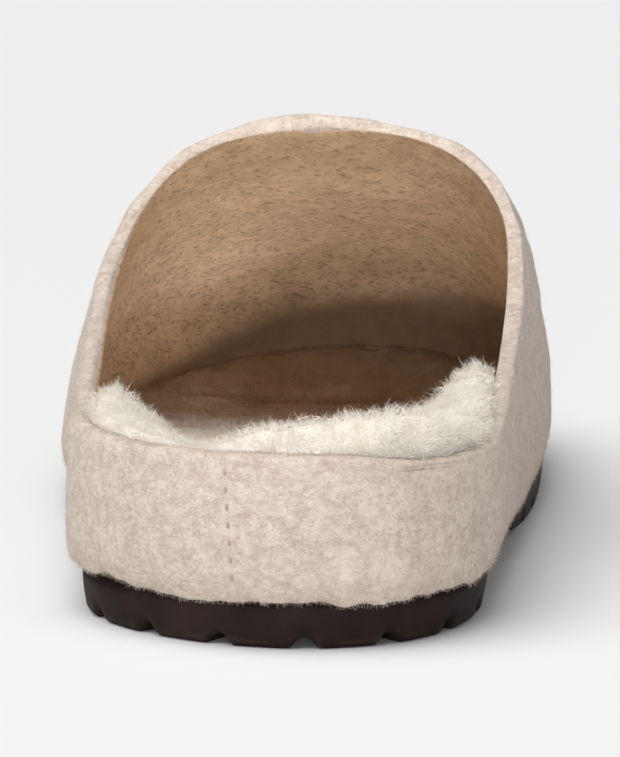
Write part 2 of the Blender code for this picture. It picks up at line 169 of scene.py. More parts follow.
# Footbed, in three zones: the heel's crest, the heel's cup and the foot's front
PILE_LEVELS = 1
FRONT_Y, CREST_Z = (-0.055, -0.005), (0.020, 0.030)
PILE_SINK = (0.0010, 0.0010, 0.0008)  # how far the footbed's face is sunk under its pile, in each zone
UPWARD_FACING = (-0.2, 0.3)
RIDGE_FACING, RIDGE_Z = (-0.8, 0.0), (0.024, 0.029)
TOE_SINK, TOE_SINK_Y = 0.0040, (0.04, 0.085)
CREST_FALL = 0.0045  # how much the crest falls from the wall to its inner side
CREST_FALL_GAP, CREST_FALL_Y = (0.003, 0.010), (-0.122, -0.108)
CREST_RISE = (0.0205, 0.0065, 0.0018)  # x, width and height of the crest's rise at the medial corner
CREST_RISE_Y = (-0.085, -0.100)
SPILL_START = (-0.101, -0.086)  # furthest y where wool spills over the rim, on the lateral and medial sides
SPILL_X, SPILL_GAP, SPILL_FADE = (-0.02, 0.02), (0.0045, 0.0010), 0.014
SPILL_RAISE = 0.5  # share of the sink that is taken back there
PARTING = (-0.0135, -0.103, 0.0065)  # x, furthest y and half width of the gap in the crest
PARTING_FADE = (0.006, -0.002)
PARTING_SINK = 0.0020
LUMPS = (0.006, 0.0004)  # wavelength and height
LUMP_SEED, ALONG_SEED, TONE_SEED = 11, 12, 13
ALONG_WAVES, TONE_WAVES = (0.30, 0.2, 0.004), (0.5, 0.4, 0.005)  # mean, height and wavelength
# where the footbed turns trodden brown towards the toe, partly painted shade
TRODDEN_AND_SHADE_Y = (-0.022, 0.03)

# Pile
PILE_LENGTH = (0.0022, 0.0023, 0.0022)  # in each zone
PILE_THICK = (0.6, 0.6, 0.55)  # share of the full density in each zone
PILE_DENSITY = 8.0e5  # locks on a square metre where the pile is thickest
PILE_TILT = 0.8
PILE_REACH = (0.75, 1.15)
PILE_SEED = 51
HEEL_PILE_Y, BACK_PILE_Y = (-0.045, -0.055), (-0.098, -0.104)
PILE_OVER = (0.05, 0.15, 1.2)  # lean out over the rim: on the crest, by the wall, and where wool spills
PILE_OVER_GAP = (0.005, 0.001)
PILE_UP = (0.40, 0.25)  # upward lean, and what it loses where wool spills
PILE_FLOW = (0.011, 0.55)  # wavelength and strength of the way the wool lies
PILE_FLOW_SEED = 40
CREST_BACK_Y = (-0.104, -0.112)  # the crest is thicker at the back
CREST_WALL_GAP, CREST_WALL_MORE = (0.007, 0.002), 1.4  # and by the wall
TOE_THICK, TOE_THICK_Y = 0.15, (-0.01, 0.03)  # share of the pile that is left at the toe
SPILL_LONGER = 0.0010
PARTING_SHORTER = 0.6
FELT_CLEAR = 0.0003
LOCK_SHAPES = 12
LOCK_STRANDS = 10
LOCK_SPREAD = 0.0016
LOCK_GATHER = 0.25  # share by which a lock narrows to its tip
LOCK_BEND = 0.0009
LOCK_SEED = 5
STRAND_STATIONS = (0.0, 0.40, 0.75, 1.0)
STRAND_TAPER = (1.0, 1.0, 0.8, 0.0)
STRAND_WIDTH = 0.000058
STRAND_WAVE, STRAND_TURN = 0.00028, 5.5  # height of a strand's wave and its angle over the length
STRAND_STRAY = 0.0005
STRAND_REACH = (0.6, 1.0)

# Outsole
SOLE_LEVELS = 2
SOLE_CREASE = (math.radians(32), 0.92)  # bend from which an edge is kept, and how sharp
RUBBED_BEND, RUBBED_Z = (0.1, 0.6), (0.004, 0.002)

# Colours
FELT_DARK, FELT_PALE = (0.455, 0.362, 0.300, 1), (0.585, 0.500, 0.425, 1)
FELT_DARK_FIBRE, FELT_PALE_FIBRE = (0.27, 0.205, 0.165, 1), (0.76, 0.69, 0.61, 1)
FELT_SCUFFED = (0.72, 0.65, 0.57, 1)
LINING_DARK, LINING_PALE = (0.455, 0.317, 0.198, 1), (0.57, 0.410, 0.265, 1)
# factor of the painted light that brightens the lining towards the toe and laterally
LINING_PAINTED_LIGHT = (1.55, 1.55, 1.58, 1)
LINING_HAIR, LINING_PALE_FIBRE = (0.20, 0.105, 0.05, 1), (0.74, 0.53, 0.34, 1)
# colour of the painted shade at the foot of the toe's inside
LINING_PAINTED_SHADE = (0.13, 0.075, 0.042, 1)
NAP_DARK, NAP_PALE = (0.55, 0.44, 0.35, 1), (0.86, 0.78, 0.69, 1)
PILE_ROOT, PILE_TIP = (0.95, 0.885, 0.795, 1), (0.98, 0.945, 0.885, 1)
PILE_WARM, PILE_TRODDEN_AND_SHADE = (0.95, 0.91, 0.85, 1), (0.35, 0.243, 0.155, 1)
SOLE_DARK, SOLE_PALE = (0.0120, 0.0064, 0.0054, 1), (0.026, 0.0142, 0.0118, 1)
SOLE_RUBBED = (0.060, 0.042, 0.034, 1)
THREAD_DARK, THREAD_PALE = (0.29, 0.215, 0.16, 1), (0.46, 0.36, 0.28, 1)

# Patterns
LINING_LIE = (1.0, 2.4, 1.0)  # how far the lining's hairs are drawn out along each axis
DASH_SLANTS = (0.4, -0.4)
DASH_STRETCH = (3.0, 1.0, 1.0)
HEATHER_TURNS = ((1.2, 0, 1.5), (1.9, 0, 0.1), (1.5, 0, 0.9), (1.95, 0, 1.75), (1.15, 0, 0.2), (1.6, 0, 2.3))
HEATHER_STRETCH = (1, 1, 4.5)
HEATHER_ROUGHNESS = 0.6


# Helpers


def smoothstep(low, high, value):
    share = np.clip((value - low) / (high - low), 0.0, 1.0)
    return share * share * (3.0 - 2.0 * share)


def waves(points, wavelength, seed):
    """A soft random field over points, about one high, made of plane waves of one length."""
    rng = np.random.default_rng(seed)
    ways = rng.normal(size=(WAVE_COUNT, 3))
    lengths = np.linalg.norm(ways, axis=1, keepdims=True)
    ways *= (2 * math.pi / wavelength) * rng.uniform(*WAVE_SPREAD, (WAVE_COUNT, 1)) / lengths
    phases = rng.uniform(0, 2 * math.pi, WAVE_COUNT)
    return np.sin(points @ ways.T + phases).sum(1) * math.sqrt(2.0 / WAVE_COUNT)


def axis_point(points, end=AXIS_BALL[1]):
    """Nearest point of the foot's middle line, in plan, with the line's last y."""
    y = np.clip(points[:, 1], AXIS_HEEL[1], end)
    share = (y - AXIS_HEEL[1]) / (AXIS_BALL[1] - AXIS_HEEL[1])
    x = AXIS_HEEL[0] + (AXIS_BALL[0] - AXIS_HEEL[0]) * share
    return np.stack([x, y], -1)


def add_object(name, data):
    item = bpy.data.objects.new(name, data)
    bpy.context.scene.collection.objects.link(item)
    return item


def solid(node):
    """Mesh of one of the solids."""
    return frame["nodes"][node].data


def surface(mesh):
    """Search tree over a mesh."""
    return BVHTree.FromPolygons([v.co for v in mesh.vertices], [p.vertices for p in mesh.polygons])


def corners(mesh):
    points = np.empty(len(mesh.vertices) * 3)
    mesh.vertices.foreach_get("co", points)
    return points.reshape(-1, 3)


def facing(mesh):
    ways = np.empty(len(mesh.vertices) * 3)
    mesh.vertex_normals.foreach_get("vector", ways)
    return ways.reshape(-1, 3)


def set_corners(mesh, points):
    mesh.vertices.foreach_set("co", np.ascontiguousarray(points, dtype=np.float32).ravel())
    mesh.update()


def set_attribute(mesh, name, values):
    """A named value or vector for each corner, read by materials and node trees."""
    kind, field = ("FLOAT_VECTOR", "vector") if np.ndim(values) == 2 else ("FLOAT", "value")
    layer = mesh.attributes.new(name, kind, "POINT")
    layer.data.foreach_set(field, np.ascontiguousarray(values, dtype=np.float32).ravel())


def read_attribute(mesh, name):
    values = np.empty(len(mesh.vertices))
    mesh.attributes[name].data.foreach_get("value", values)
    return values


def covered(mesh, thick):
    """Area of a mesh weighted by a share at its corners."""
    mesh.calc_loop_triangles()
    sides = np.empty(len(mesh.loop_triangles) * 3, dtype=int)
    mesh.loop_triangles.foreach_get("vertices", sides)
    sides = sides.reshape(-1, 3)
    points = corners(mesh)
    first, second, third = points[sides[:, 0]], points[sides[:, 1]], points[sides[:, 2]]
    area = np.linalg.norm(np.cross(second - first, third - first), axis=1) / 2
    return float((area * thick[sides].mean(1)).sum())


def baked(item):
    """The object's evaluated mesh, with its modifiers made real."""
    graph = bpy.context.evaluated_depsgraph_get()
    return bpy.data.meshes.new_from_object(item.evaluated_get(graph), depsgraph=graph)


def rounded(node, name, levels, crease=None):
    """A solid's form with its triangles joined to quads and its facets rounded off, but for creased edges."""
    shape = bmesh.new()
    shape.from_mesh(solid(node))
    bmesh.ops.remove_doubles(shape, verts=shape.verts, dist=WELD)
    bmesh.ops.join_triangles(
        shape, faces=shape.faces, angle_face_threshold=JOIN_BEND, angle_shape_threshold=JOIN_SKEW
    )
    if crease is not None:
        bend, sharpness = crease
        layer = shape.edges.layers.float.new("crease_edge")
        for edge in shape.edges:
            if edge.calc_face_angle(0.0) > bend:
                edge[layer] = sharpness
    mesh = bpy.data.meshes.new(name)
    shape.to_mesh(mesh)
    shape.free()
    mesh.materials.clear()
    item = add_object(name, mesh)
    modifier = item.modifiers.new("rounding", "SUBSURF")
    modifier.levels = modifier.render_levels = levels
    item.data = baked(item)
    item.modifiers.clear()
    item.data.shade_smooth()
    return item


# Node tools


def feed(tree, source, target):
    """Give an input a socket's value or a plain one."""
    if isinstance(source, bpy.types.NodeSocket):
        tree.links.new(source, target)
    else:
        target.default_value = source


def fill(tree, node, values):
    """Feed some of a node's inputs by their names."""
    for name, value in values.items():
        feed(tree, value, node.inputs[name])


def make_node(tree, kind, **values):
    """A node with its properties set by name."""
    node = tree.nodes.new(kind)
    for key, value in values.items():
        setattr(node, key, value)
    return node


def socket(tree, name, kind, way="INPUT"):
    tree.interface.new_socket(name, in_out=way, socket_type=kind)


def shader(name):
    """A new material, its tree and its Principled node."""
    material = bpy.data.materials.new(name)
    material.use_nodes = True
    tree = material.node_tree
    return material, tree, tree.nodes["Principled BSDF"]


def mix_colour(tree, factor, first, second, blend="MIX"):
    """Mix two colours; each of the three is a socket or a plain value."""
    node = make_node(tree, "ShaderNodeMix", data_type="RGBA", blend_type=blend)
    for place, value in ((0, factor), (6, first), (7, second)):
        feed(tree, value, node.inputs[place])
    return node.outputs[2]


def tinted(tree, colour, tint):
    """A colour times another."""
    return mix_colour(tree, 1.0, colour, tint, "MULTIPLY")


def number(tree, operation, *values, clamp=False):
    node = make_node(tree, "ShaderNodeMath", operation=operation, use_clamp=clamp)
    for value, target in zip(values, node.inputs):
        feed(tree, value, target)
    return node.outputs[0]


def times(tree, first, second, clamp=False):
    return number(tree, "MULTIPLY", first, second, clamp=clamp)


def greatest(tree, values):
    most, *others = values
    for value in others:
        most = number(tree, "MAXIMUM", most, value)
    return most


def step_up(tree, value, low, high):
    """Smooth step of a value between two limits."""
    node = make_node(tree, "ShaderNodeMapRange", interpolation_type="SMOOTHSTEP")
    fill(tree, node, {"Value": value, "From Min": low, "From Max": high})
    return node.outputs["Result"]


def noise(tree, place, scale, detail=2.0, roughness=0.5):
    node = make_node(tree, "ShaderNodeTexNoise")
    fill(tree, node, {"Vector": place, "Scale": scale, "Detail": detail, "Roughness": roughness})
    return node.outputs["Fac"]


def laid(tree, place, turn=(0, 0, 0), stretch=(1, 1, 1)):
    """A place turned and drawn out, for a pattern that lies one way."""
    node = make_node(tree, "ShaderNodeMapping", vector_type="TEXTURE")
    fill(tree, node, {"Vector": place, "Rotation": turn, "Scale": stretch})
    return node.outputs["Vector"]


def attribute(tree, name):
    return make_node(tree, "ShaderNodeAttribute", attribute_name=name).outputs["Fac"]


def object_place(tree):
    return make_node(tree, "ShaderNodeTexCoord").outputs["Object"]


def bump(tree, height, distance, strength, under=None):
    node = make_node(tree, "ShaderNodeBump")
    fill(tree, node, {"Height": height, "Distance": distance, "Strength": strength})
    if under is not None:
        feed(tree, under, node.inputs["Normal"])
    return node.outputs["Normal"]


def heather_group():
    """Shader group: crossing dark and pale wool fibres, clouds of tone, and their height."""
    tree = bpy.data.node_groups.new("wool_heather", "ShaderNodeTree")
    socket(tree, "Place", "NodeSocketVector")
    for name in ("Fibre Scale", "Cloud Scale"):
        socket(tree, name, "NodeSocketFloat")
    for name in ("Dark", "Pale", "Cloud", "Height"):
        socket(tree, name, "NodeSocketFloat", "OUTPUT")
    place, fibre, cloud = list(make_node(tree, "NodeGroupInput").outputs)[:3]
    end = make_node(tree, "NodeGroupOutput")

    def field(scale, detail, turn, stretch):
        return noise(tree, laid(tree, place, turn, stretch), scale, detail, HEATHER_ROUGHNESS)

    streaks = [field(fibre, 2.0, turn, HEATHER_STRETCH) for turn in HEATHER_TURNS]
    dark, pale = greatest(tree, streaks[:3]), greatest(tree, streaks[3:])
    broad = field(cloud, 3.0, turn=(1, 0, 0), stretch=(2.6, 2.6, 2.6))
    fine = field(cloud, 5.0, turn=(0, 0, 0), stretch=(1.4, 1, 1))
    fill(tree, end, {
        "Dark": step_up(tree, dark, low=0.56, high=0.72),
        "Pale": step_up(tree, pale, low=0.56, high=0.72),
        "Cloud": step_up(tree, number(tree, "MULTIPLY_ADD", broad, 0.8, fine), low=0.66, high=1.14),
        "Height": number(tree, "SUBTRACT", pale, times(tree, dark, 0.5)),
    })
    return tree


def heather(tree, place, fibre_scale, cloud_scale):
    node = make_node(tree, "ShaderNodeGroup", node_tree=HEATHER)
    fill(tree, node, {"Place": place, "Fibre Scale": fibre_scale, "Cloud Scale": cloud_scale})
    return node.outputs


# Geometry node trees


def random_value(tree, kind, low, high, seed):
    """A random value for each point, with its limits and seed as sockets or plain values."""
    node = make_node(tree, "FunctionNodeRandomValue", data_type=kind)
    first, out = {"FLOAT_VECTOR": (0, 0), "FLOAT": (2, 1), "INT": (4, 2)}[kind]
    for place, value in ((first, low), (first + 1, high), (8, seed)):
        feed(tree, value, node.inputs[place])
    return node.outputs[out]


def named(tree, name, kind="FLOAT"):
    node = make_node(tree, "GeometryNodeInputNamedAttribute", data_type=kind)
    node.inputs["Name"].default_value = name
    return node.outputs["Attribute"]


def geometry_tree(name, inputs):
    """A tree with named inputs; gives it with its input sockets and its output socket."""
    tree = bpy.data.node_groups.new(name, "GeometryNodeTree")
    tree.is_modifier = True
    socket(tree, "Geometry", "NodeSocketGeometry")
    for label, kind in inputs.items():
        socket(tree, label, "NodeSocket" + kind)
    socket(tree, "Geometry", "NodeSocketGeometry", "OUTPUT")
    start, end = make_node(tree, "NodeGroupInput"), make_node(tree, "NodeGroupOutput")
    return tree, start.outputs, end.inputs[0]


def realized(tree, instances, material, end):
    """Close a tree: make its instances real and give them their finish."""
    real = make_node(tree, "GeometryNodeRealizeInstances")
    feed(tree, instances, real.inputs["Geometry"])
    finish = make_node(tree, "GeometryNodeSetMaterial")
    fill(tree, finish, {"Geometry": real.outputs["Geometry"], "Material": material})
    feed(tree, finish.outputs["Geometry"], end)


def fibre_stand(tree, tilt, seed):
    """Turn of each fibre: along its attribute lean, with some stray, and rolled at random."""
    stray = make_node(tree, "ShaderNodeVectorMath", operation="SCALE")
    feed(tree, random_value(tree, "FLOAT_VECTOR", (-1, -1, -1), (1, 1, 1), seed), stray.inputs[0])
    feed(tree, tilt, stray.inputs["Scale"])
    way = make_node(tree, "ShaderNodeVectorMath", operation="ADD")
    feed(tree, named(tree, "lean", "FLOAT_VECTOR"), way.inputs[0])
    feed(tree, stray.outputs[0], way.inputs[1])
    stand = make_node(tree, "FunctionNodeAlignRotationToVector", axis="Z")
    feed(tree, way.outputs[0], stand.inputs["Vector"])
    roll = make_node(tree, "FunctionNodeAxisAngleToRotation")
    feed(tree, random_value(tree, "FLOAT", 0.0, 2 * math.pi, seed), roll.inputs["Angle"])
    turn = make_node(tree, "FunctionNodeRotateRotation", rotation_space="LOCAL")
    fill(tree, turn, {"Rotation": stand.outputs[0], "Rotate By": roll.outputs[0]})
    return turn.outputs[0]


def fibre_tree():
    """Tree: fibres or locks set over a surface by its attributes thick, lean and length."""
    tree, start, end = geometry_tree("set_fibres", {
        "Density": "Float", "Shapes": "Collection", "Last Shape": "Int", "Tilt": "Float",
        "Shortest": "Float", "Longest": "Float", "Seed": "Int", "Finish": "Material",
    })
    seed = start["Seed"]
    scatter = make_node(tree, "GeometryNodeDistributePointsOnFaces", distribute_method="RANDOM")
    density = times(tree, named(tree, "thick"), start["Density"])
    fill(tree, scatter, {"Mesh": start["Geometry"], "Density": density, "Seed": seed})
    reach = random_value(tree, "FLOAT", start["Shortest"], start["Longest"], number(tree, "ADD", seed, 1.0))
    size = make_node(tree, "ShaderNodeCombineXYZ")
    fill(tree, size, {"X": 1.0, "Y": 1.0, "Z": times(tree, named(tree, "length"), reach)})
    shapes = make_node(tree, "GeometryNodeCollectionInfo")
    fill(tree, shapes, {"Collection": start["Shapes"], "Separate Children": True, "Reset Children": True})
    place = make_node(tree, "GeometryNodeInstanceOnPoints")
    fill(tree, place, {
        "Points": scatter.outputs["Points"], "Instance": shapes.outputs[0], "Pick Instance": True,
        "Instance Index": random_value(tree, "INT", 0, start["Last Shape"], seed),
        "Rotation": fibre_stand(tree, start["Tilt"], seed), "Scale": size.outputs[0],
    })
    tone = make_node(tree, "GeometryNodeStoreNamedAttribute", data_type="FLOAT", domain="INSTANCE")
    shade = random_value(tree, "FLOAT", 0.0, 1.0, number(tree, "ADD", seed, 2.0))
    fill(tree, tone, {"Geometry": place.outputs[0], "Name": "tone", "Value": shade})
    realized(tree, tone.outputs[0], start["Finish"], end)
    return tree


def stitch_tree():
    """Tree: one thread bead at each pitch along a path, lying along it and facing its attribute out."""
    tree, start, end = geometry_tree(
        "seam_stitches", {"Pitch": "Float", "Stitch": "Object", "Finish": "Material"}
    )
    path = make_node(tree, "GeometryNodeMeshToCurve")
    feed(tree, start["Geometry"], path.inputs["Mesh"])
    even = make_node(tree, "GeometryNodeResampleCurve", mode="LENGTH")
    fill(tree, even, {"Curve": path.outputs["Curve"], "Length": start["Pitch"]})
    stand = make_node(tree, "FunctionNodeAlignRotationToVector", axis="Z")
    feed(tree, named(tree, "out", "FLOAT_VECTOR"), stand.inputs["Vector"])
    lie = make_node(tree, "FunctionNodeAlignRotationToVector", axis="Y", pivot_axis="Z")
    tangent = make_node(tree, "GeometryNodeInputTangent").outputs[0]
    fill(tree, lie, {"Rotation": stand.outputs[0], "Vector": tangent})
    bead = make_node(tree, "GeometryNodeObjectInfo")
    feed(tree, start["Stitch"], bead.inputs["Object"])
    place = make_node(tree, "GeometryNodeInstanceOnPoints")
    fill(tree, place, {
        "Points": even.outputs["Curve"], "Instance": bead.outputs["Geometry"], "Rotation": lie.outputs[0],
    })
    realized(tree, place.outputs[0], start["Finish"], end)
    return tree


def grown(base, tree, name, values):
    """Run a tree on an object that only carries it, and keep the result as a plain mesh."""
    modifier = base.modifiers.new("growth", "NODES")
    modifier.node_group = tree
    for item in tree.interface.items_tree:
        if item.in_out == "INPUT" and item.name in values:
            modifier[item.identifier] = values[item.name]
    mesh = baked(base)
    mesh.name = name
    bpy.data.objects.remove(base)
    return add_object(name, mesh)


def shape_store(name, meshes):
    """A collection of small shapes for a tree to pick from."""
    store = bpy.data.collections.new(name)
    for i, mesh in enumerate(meshes):
        store.objects.link(bpy.data.objects.new(f"{name}_{i}", mesh))
    return store


def clear_store(store):
    for item in list(store.objects):
        bpy.data.objects.remove(item)
    bpy.data.collections.remove(store)


# Materials


def heel_folds(tree, place):
    """Height of the lap's soft edge and of the crease under the rim, both at the back of the heel."""
    parts = make_node(tree, "ShaderNodeSeparateXYZ")
    feed(tree, place, parts.inputs[0])
    x, y, z = parts.outputs
    behind = step_up(tree, times(tree, y, -1.0), *FOLD_BEHIND)
    past = number(tree, "SUBTRACT", x, number(tree, "MULTIPLY_ADD", z, LAP_LINE[1], LAP_LINE[0]))
    lap = number(tree, "SUBTRACT", step_up(tree, past, -LAP_EDGE, LAP_EDGE), step_up(tree, past, *LAP_FADE))
    off = number(tree, "SUBTRACT", z, number(tree, "MULTIPLY_ADD", x, CREASE_LINE[1], CREASE_LINE[0]))
    crease = number(tree, "SUBTRACT", 1.0, step_up(tree, number(tree, "ABSOLUTE", off), 0.0, CREASE_WIDTH))
    start, end = CREASE_ENDS
    crease = times(tree, crease, step_up(tree, x, start, start + CREASE_FADES[0]))
    crease = times(tree, crease, step_up(tree, times(tree, x, -1.0), -end, CREASE_FADES[1] - end))
    height = number(tree, "SUBTRACT", times(tree, lap, LAP_HEIGHT), times(tree, crease, CREASE_DEPTH))
    return times(tree, height, behind)


def felt_material():
    """Heathered cream felt, with the lap's edge and a crease at the centre back and a scuffed patch."""
    material, tree, body = shader("wool_felt")
    place = object_place(tree)
    wool = heather(tree, place, fibre_scale=1400.0, cloud_scale=800.0)
    cream = mix_colour(tree, wool["Cloud"], FELT_DARK, FELT_PALE)
    cream = mix_colour(tree, times(tree, wool["Dark"], 0.36), cream, FELT_DARK_FIBRE)
    cream = mix_colour(tree, times(tree, wool["Pale"], 0.32), cream, FELT_PALE_FIBRE)
    worn = step_up(tree, noise(tree, place, scale=190.0, detail=3.0), low=0.38, high=0.62)
    cream = mix_colour(tree, times(tree, attribute(tree, "scuff"), worn), cream, FELT_SCUFFED)
    coarse = bump(tree, noise(tree, place, scale=260.0, detail=3.0), distance=0.0006, strength=0.35)
    folds = bump(tree, heel_folds(tree, place), distance=0.0008, strength=1.0, under=coarse)
    fill(tree, body, {
        "Base Color": cream, "Roughness": 0.95, "Specular IOR Level": 0.15,
        "Sheen Weight": 0.15, "Sheen Roughness": 0.6,
        "Normal": bump(tree, wool["Height"], distance=0.0005, strength=0.65, under=folds),
    })
    return material


def dashes(tree, place):
    """Mask of short dark hairs lying across the lining, on two slants."""
    lies = [laid(tree, place, (0.0, slant, slant), DASH_STRETCH) for slant in DASH_SLANTS]
    hairs = [noise(tree, lie, scale=1400.0, roughness=0.55) for lie in lies]
    return step_up(tree, greatest(tree, hairs), low=0.54, high=0.74)


def lining_material():
    """Tan felt of the inside, with short dark hairs lying across it, painted light towards the toe and on the
    lateral side, and painted shade at the foot of the toe.
    """
    material, tree, body = shader("felt_lining")
    place, deep = laid(tree, object_place(tree), stretch=LINING_LIE), attribute(tree, "deep")
    wool = heather(tree, place, fibre_scale=1700.0, cloud_scale=420.0)
    tan = mix_colour(tree, wool["Cloud"], LINING_DARK, LINING_PALE)
    # painted light: the lining brightened towards the toe and on the lateral side, where little light reaches
    tan = mix_colour(tree, attribute(tree, "far"), tan, tinted(tree, tan, LINING_PAINTED_LIGHT))
    # the dark hairs fade under the painted shade
    strength = number(tree, "SUBTRACT", 0.6, times(tree, deep, 0.5))
    tan = mix_colour(tree, times(tree, dashes(tree, place), strength), tan, LINING_HAIR)
    tan = mix_colour(tree, times(tree, wool["Pale"], 0.25), tan, LINING_PALE_FIBRE)
    # painted shade: the foot of the toe's inside darkened where little light reaches
    tan = mix_colour(tree, times(tree, deep, 0.72), tan, LINING_PAINTED_SHADE)
    fill(tree, body, {
        "Base Color": tan, "Roughness": 0.95, "Specular IOR Level": 0.1,
        "Normal": bump(tree, wool["Height"], distance=0.0005, strength=0.5),
    })
    return material


def nap_material():
    """Loose fibres of the felt, pale with some darker ones."""
    material, tree, body = shader("felt_nap")
    tone = step_up(tree, noise(tree, object_place(tree), scale=700.0), low=0.35, high=0.65)
    shade = mix_colour(tree, tone, NAP_DARK, NAP_PALE)
    fill(tree, body, {"Base Color": shade, "Roughness": 0.9, "Specular IOR Level": 0.15})
    return material


def pile_material(name):
    """Wool pile: darker and warmer at the root, cream at the heel and brown towards the toe, trodden and partly
    painted shade of the deep toe.
    """
    material, tree, body = shader(name)
    shade = mix_colour(tree, step_up(tree, attribute(tree, "along"), low=0.0, high=0.8), PILE_ROOT, PILE_TIP)
    warm = step_up(tree, attribute(tree, "tone"), low=0.5, high=1.0)
    shade = mix_colour(tree, warm, shade, tinted(tree, shade, PILE_WARM))
    clouds = times(tree, noise(tree, object_place(tree), scale=90.0, detail=3.0), 0.5)
    # trodden brown towards the toe, partly painted shade of the deep toe
    front = times(tree, attribute(tree, "front"), number(tree, "ADD", clouds, 0.75), clamp=True)
    wool = heather(tree, object_place(tree), fibre_scale=1500.0, cloud_scale=400.0)
    fill(tree, body, {
        "Base Color": mix_colour(tree, front, shade, tinted(tree, shade, PILE_TRODDEN_AND_SHADE)),
        "Roughness": 0.85, "Specular IOR Level": 0.2, "Sheen Weight": 0.2,
        "Normal": bump(tree, wool["Height"], distance=0.0012, strength=0.8),
    })
    return material


def sole_material():
    """Dark brown moulded rubber with a fine grain, paler where edges are rubbed."""
    material, tree, body = shader("moulded_rubber")
    place = object_place(tree)
    cloud = noise(tree, place, scale=70.0, detail=4.0)
    shade = mix_colour(tree, step_up(tree, cloud, low=0.35, high=0.7), SOLE_DARK, SOLE_PALE)
    worn = step_up(tree, noise(tree, place, scale=420.0, detail=3.0), low=0.40, high=0.65)
    rubbed = times(tree, attribute(tree, "edge"), worn)
    shade = mix_colour(tree, times(tree, rubbed, 0.5), shade, SOLE_RUBBED)
    gloss = make_node(tree, "ShaderNodeMapRange")
    fill(tree, gloss, {"Value": cloud, "To Min": 0.55, "To Max": 0.75})
    grain = bump(tree, noise(tree, place, scale=1500.0), distance=0.0002, strength=0.35)
    uneven = noise(tree, place, scale=240.0, detail=3.0)
    fill(tree, body, {
        "Base Color": shade, "Roughness": gloss.outputs["Result"], "Specular IOR Level": 0.12,
        "Normal": bump(tree, uneven, distance=0.0005, strength=0.25, under=grain),
    })
    return material


def thread_material():
    """Brown thread of the seam, with its twist."""
    material, tree, body = shader("seam_thread")
    twist = noise(tree, object_place(tree), scale=2600.0)
    fill(tree, body, {"Base Color": mix_colour(tree, twist, THREAD_DARK, THREAD_PALE), "Roughness": 0.8})
    return material


# Felt shell, its nap and its seam


def seam_points(tree):
    """Stitch places on a surface's outer face, found by looking from behind, and the ways it faces there."""
    top, foot = np.array(SEAM_TOP), np.array(SEAM_FOOT)
    count = int(np.linalg.norm(top - foot) / STITCH_PITCH) + 1
    found = []
    for share in np.linspace(0, 1, count):
        x, z = top + (foot - top) * share
        found.append(tree.ray_cast(Vector((x, HEEL_BACK - SEAM_LOOK, z)), Vector((0, 1, 0)))[:2])
    return found


def inside_share(mesh):
    """One where the felt faces the middle of the shoe's hollow."""
    points = corners(mesh)
    middle = np.column_stack([axis_point(points, HOLLOW_END), np.full(len(points), HOLLOW_HEIGHT)])
    way = middle - points
    way /= np.linalg.norm(way, axis=1, keepdims=True)
    return np.where((way * facing(mesh)).sum(1) > INSIDE_FACING, 1.0, 0.0)


def felt_lift(points, inside):
    """How far the felt stands out: its waves, its dimples at the stitches and its thin edge at the throat."""
    lift = np.zeros(len(points))
    for seed, (wavelength, height) in enumerate(FELT_WAVES):
        lift += waves(points, wavelength, seed) * height
    radius, depth = STITCH_DIMPLE
    for spot, _ in seam_points(surface(solid("upper"))):
        away = np.linalg.norm(points - np.array(spot), axis=1)
        lift -= depth * np.exp(-((away / radius) ** 2)) * (1 - inside)
    lift *= 1 - INNER_CALM * inside
    throat = smoothstep(*THROAT_Z, points[:, 2]) * smoothstep(*THROAT_Y, points[:, 1])
    return lift - SKIVE * inside * throat


def painted_toe_shade(points):
    """Strength of the painted shade at the foot of the toe's inside, under a line that falls to the lateral
    side.
    """
    height, fall, rise = TOE_SHADE_LINE
    x = points[:, 0]
    line = height - fall * np.maximum(0, TOE_SHADE_BEND - x) + rise * np.maximum(0, x)
    return smoothstep(*TOE_SHADE_EDGE, points[:, 2] - line) * smoothstep(*TOE_SHADE_Y, points[:, 1])


def painted_lining_light(points):
    """Strength of the painted light on the lining, towards the toe and on the lateral side."""
    toe, medial, lateral = LINING_LIGHT_SHARES
    x, y = points[:, 0], points[:, 1]
    far = toe * smoothstep(*LINING_LIGHT_Y, y) * (1 - medial * smoothstep(*LINING_LIGHT_MEDIAL_X, x))
    return np.minimum(far + lateral * smoothstep(*LINING_LIGHT_LATERAL_X, x), 1.0)


def scuff_share(points):
    """Strength of the scuffed patch on the back of the heel."""
    x, z, wide, high, strength = SCUFF
    share = np.exp(-(((points[:, 0] - x) / wide) ** 2) - ((points[:, 2] - z) / high) ** 2)
    return share * strength * (points[:, 1] < BACK_Y)


def line_inside(mesh, inside):
    """Give the second material to the faces of the inside, but for a ring along the felt's edges."""
    lined = inside.copy()
    for face in mesh.polygons:
        if inside[list(face.vertices)].min() < 0.5:
            lined[list(face.vertices)] = 0.0
    for face in mesh.polygons:
        face.material_index = int(lined[list(face.vertices)].min() > 0.5)


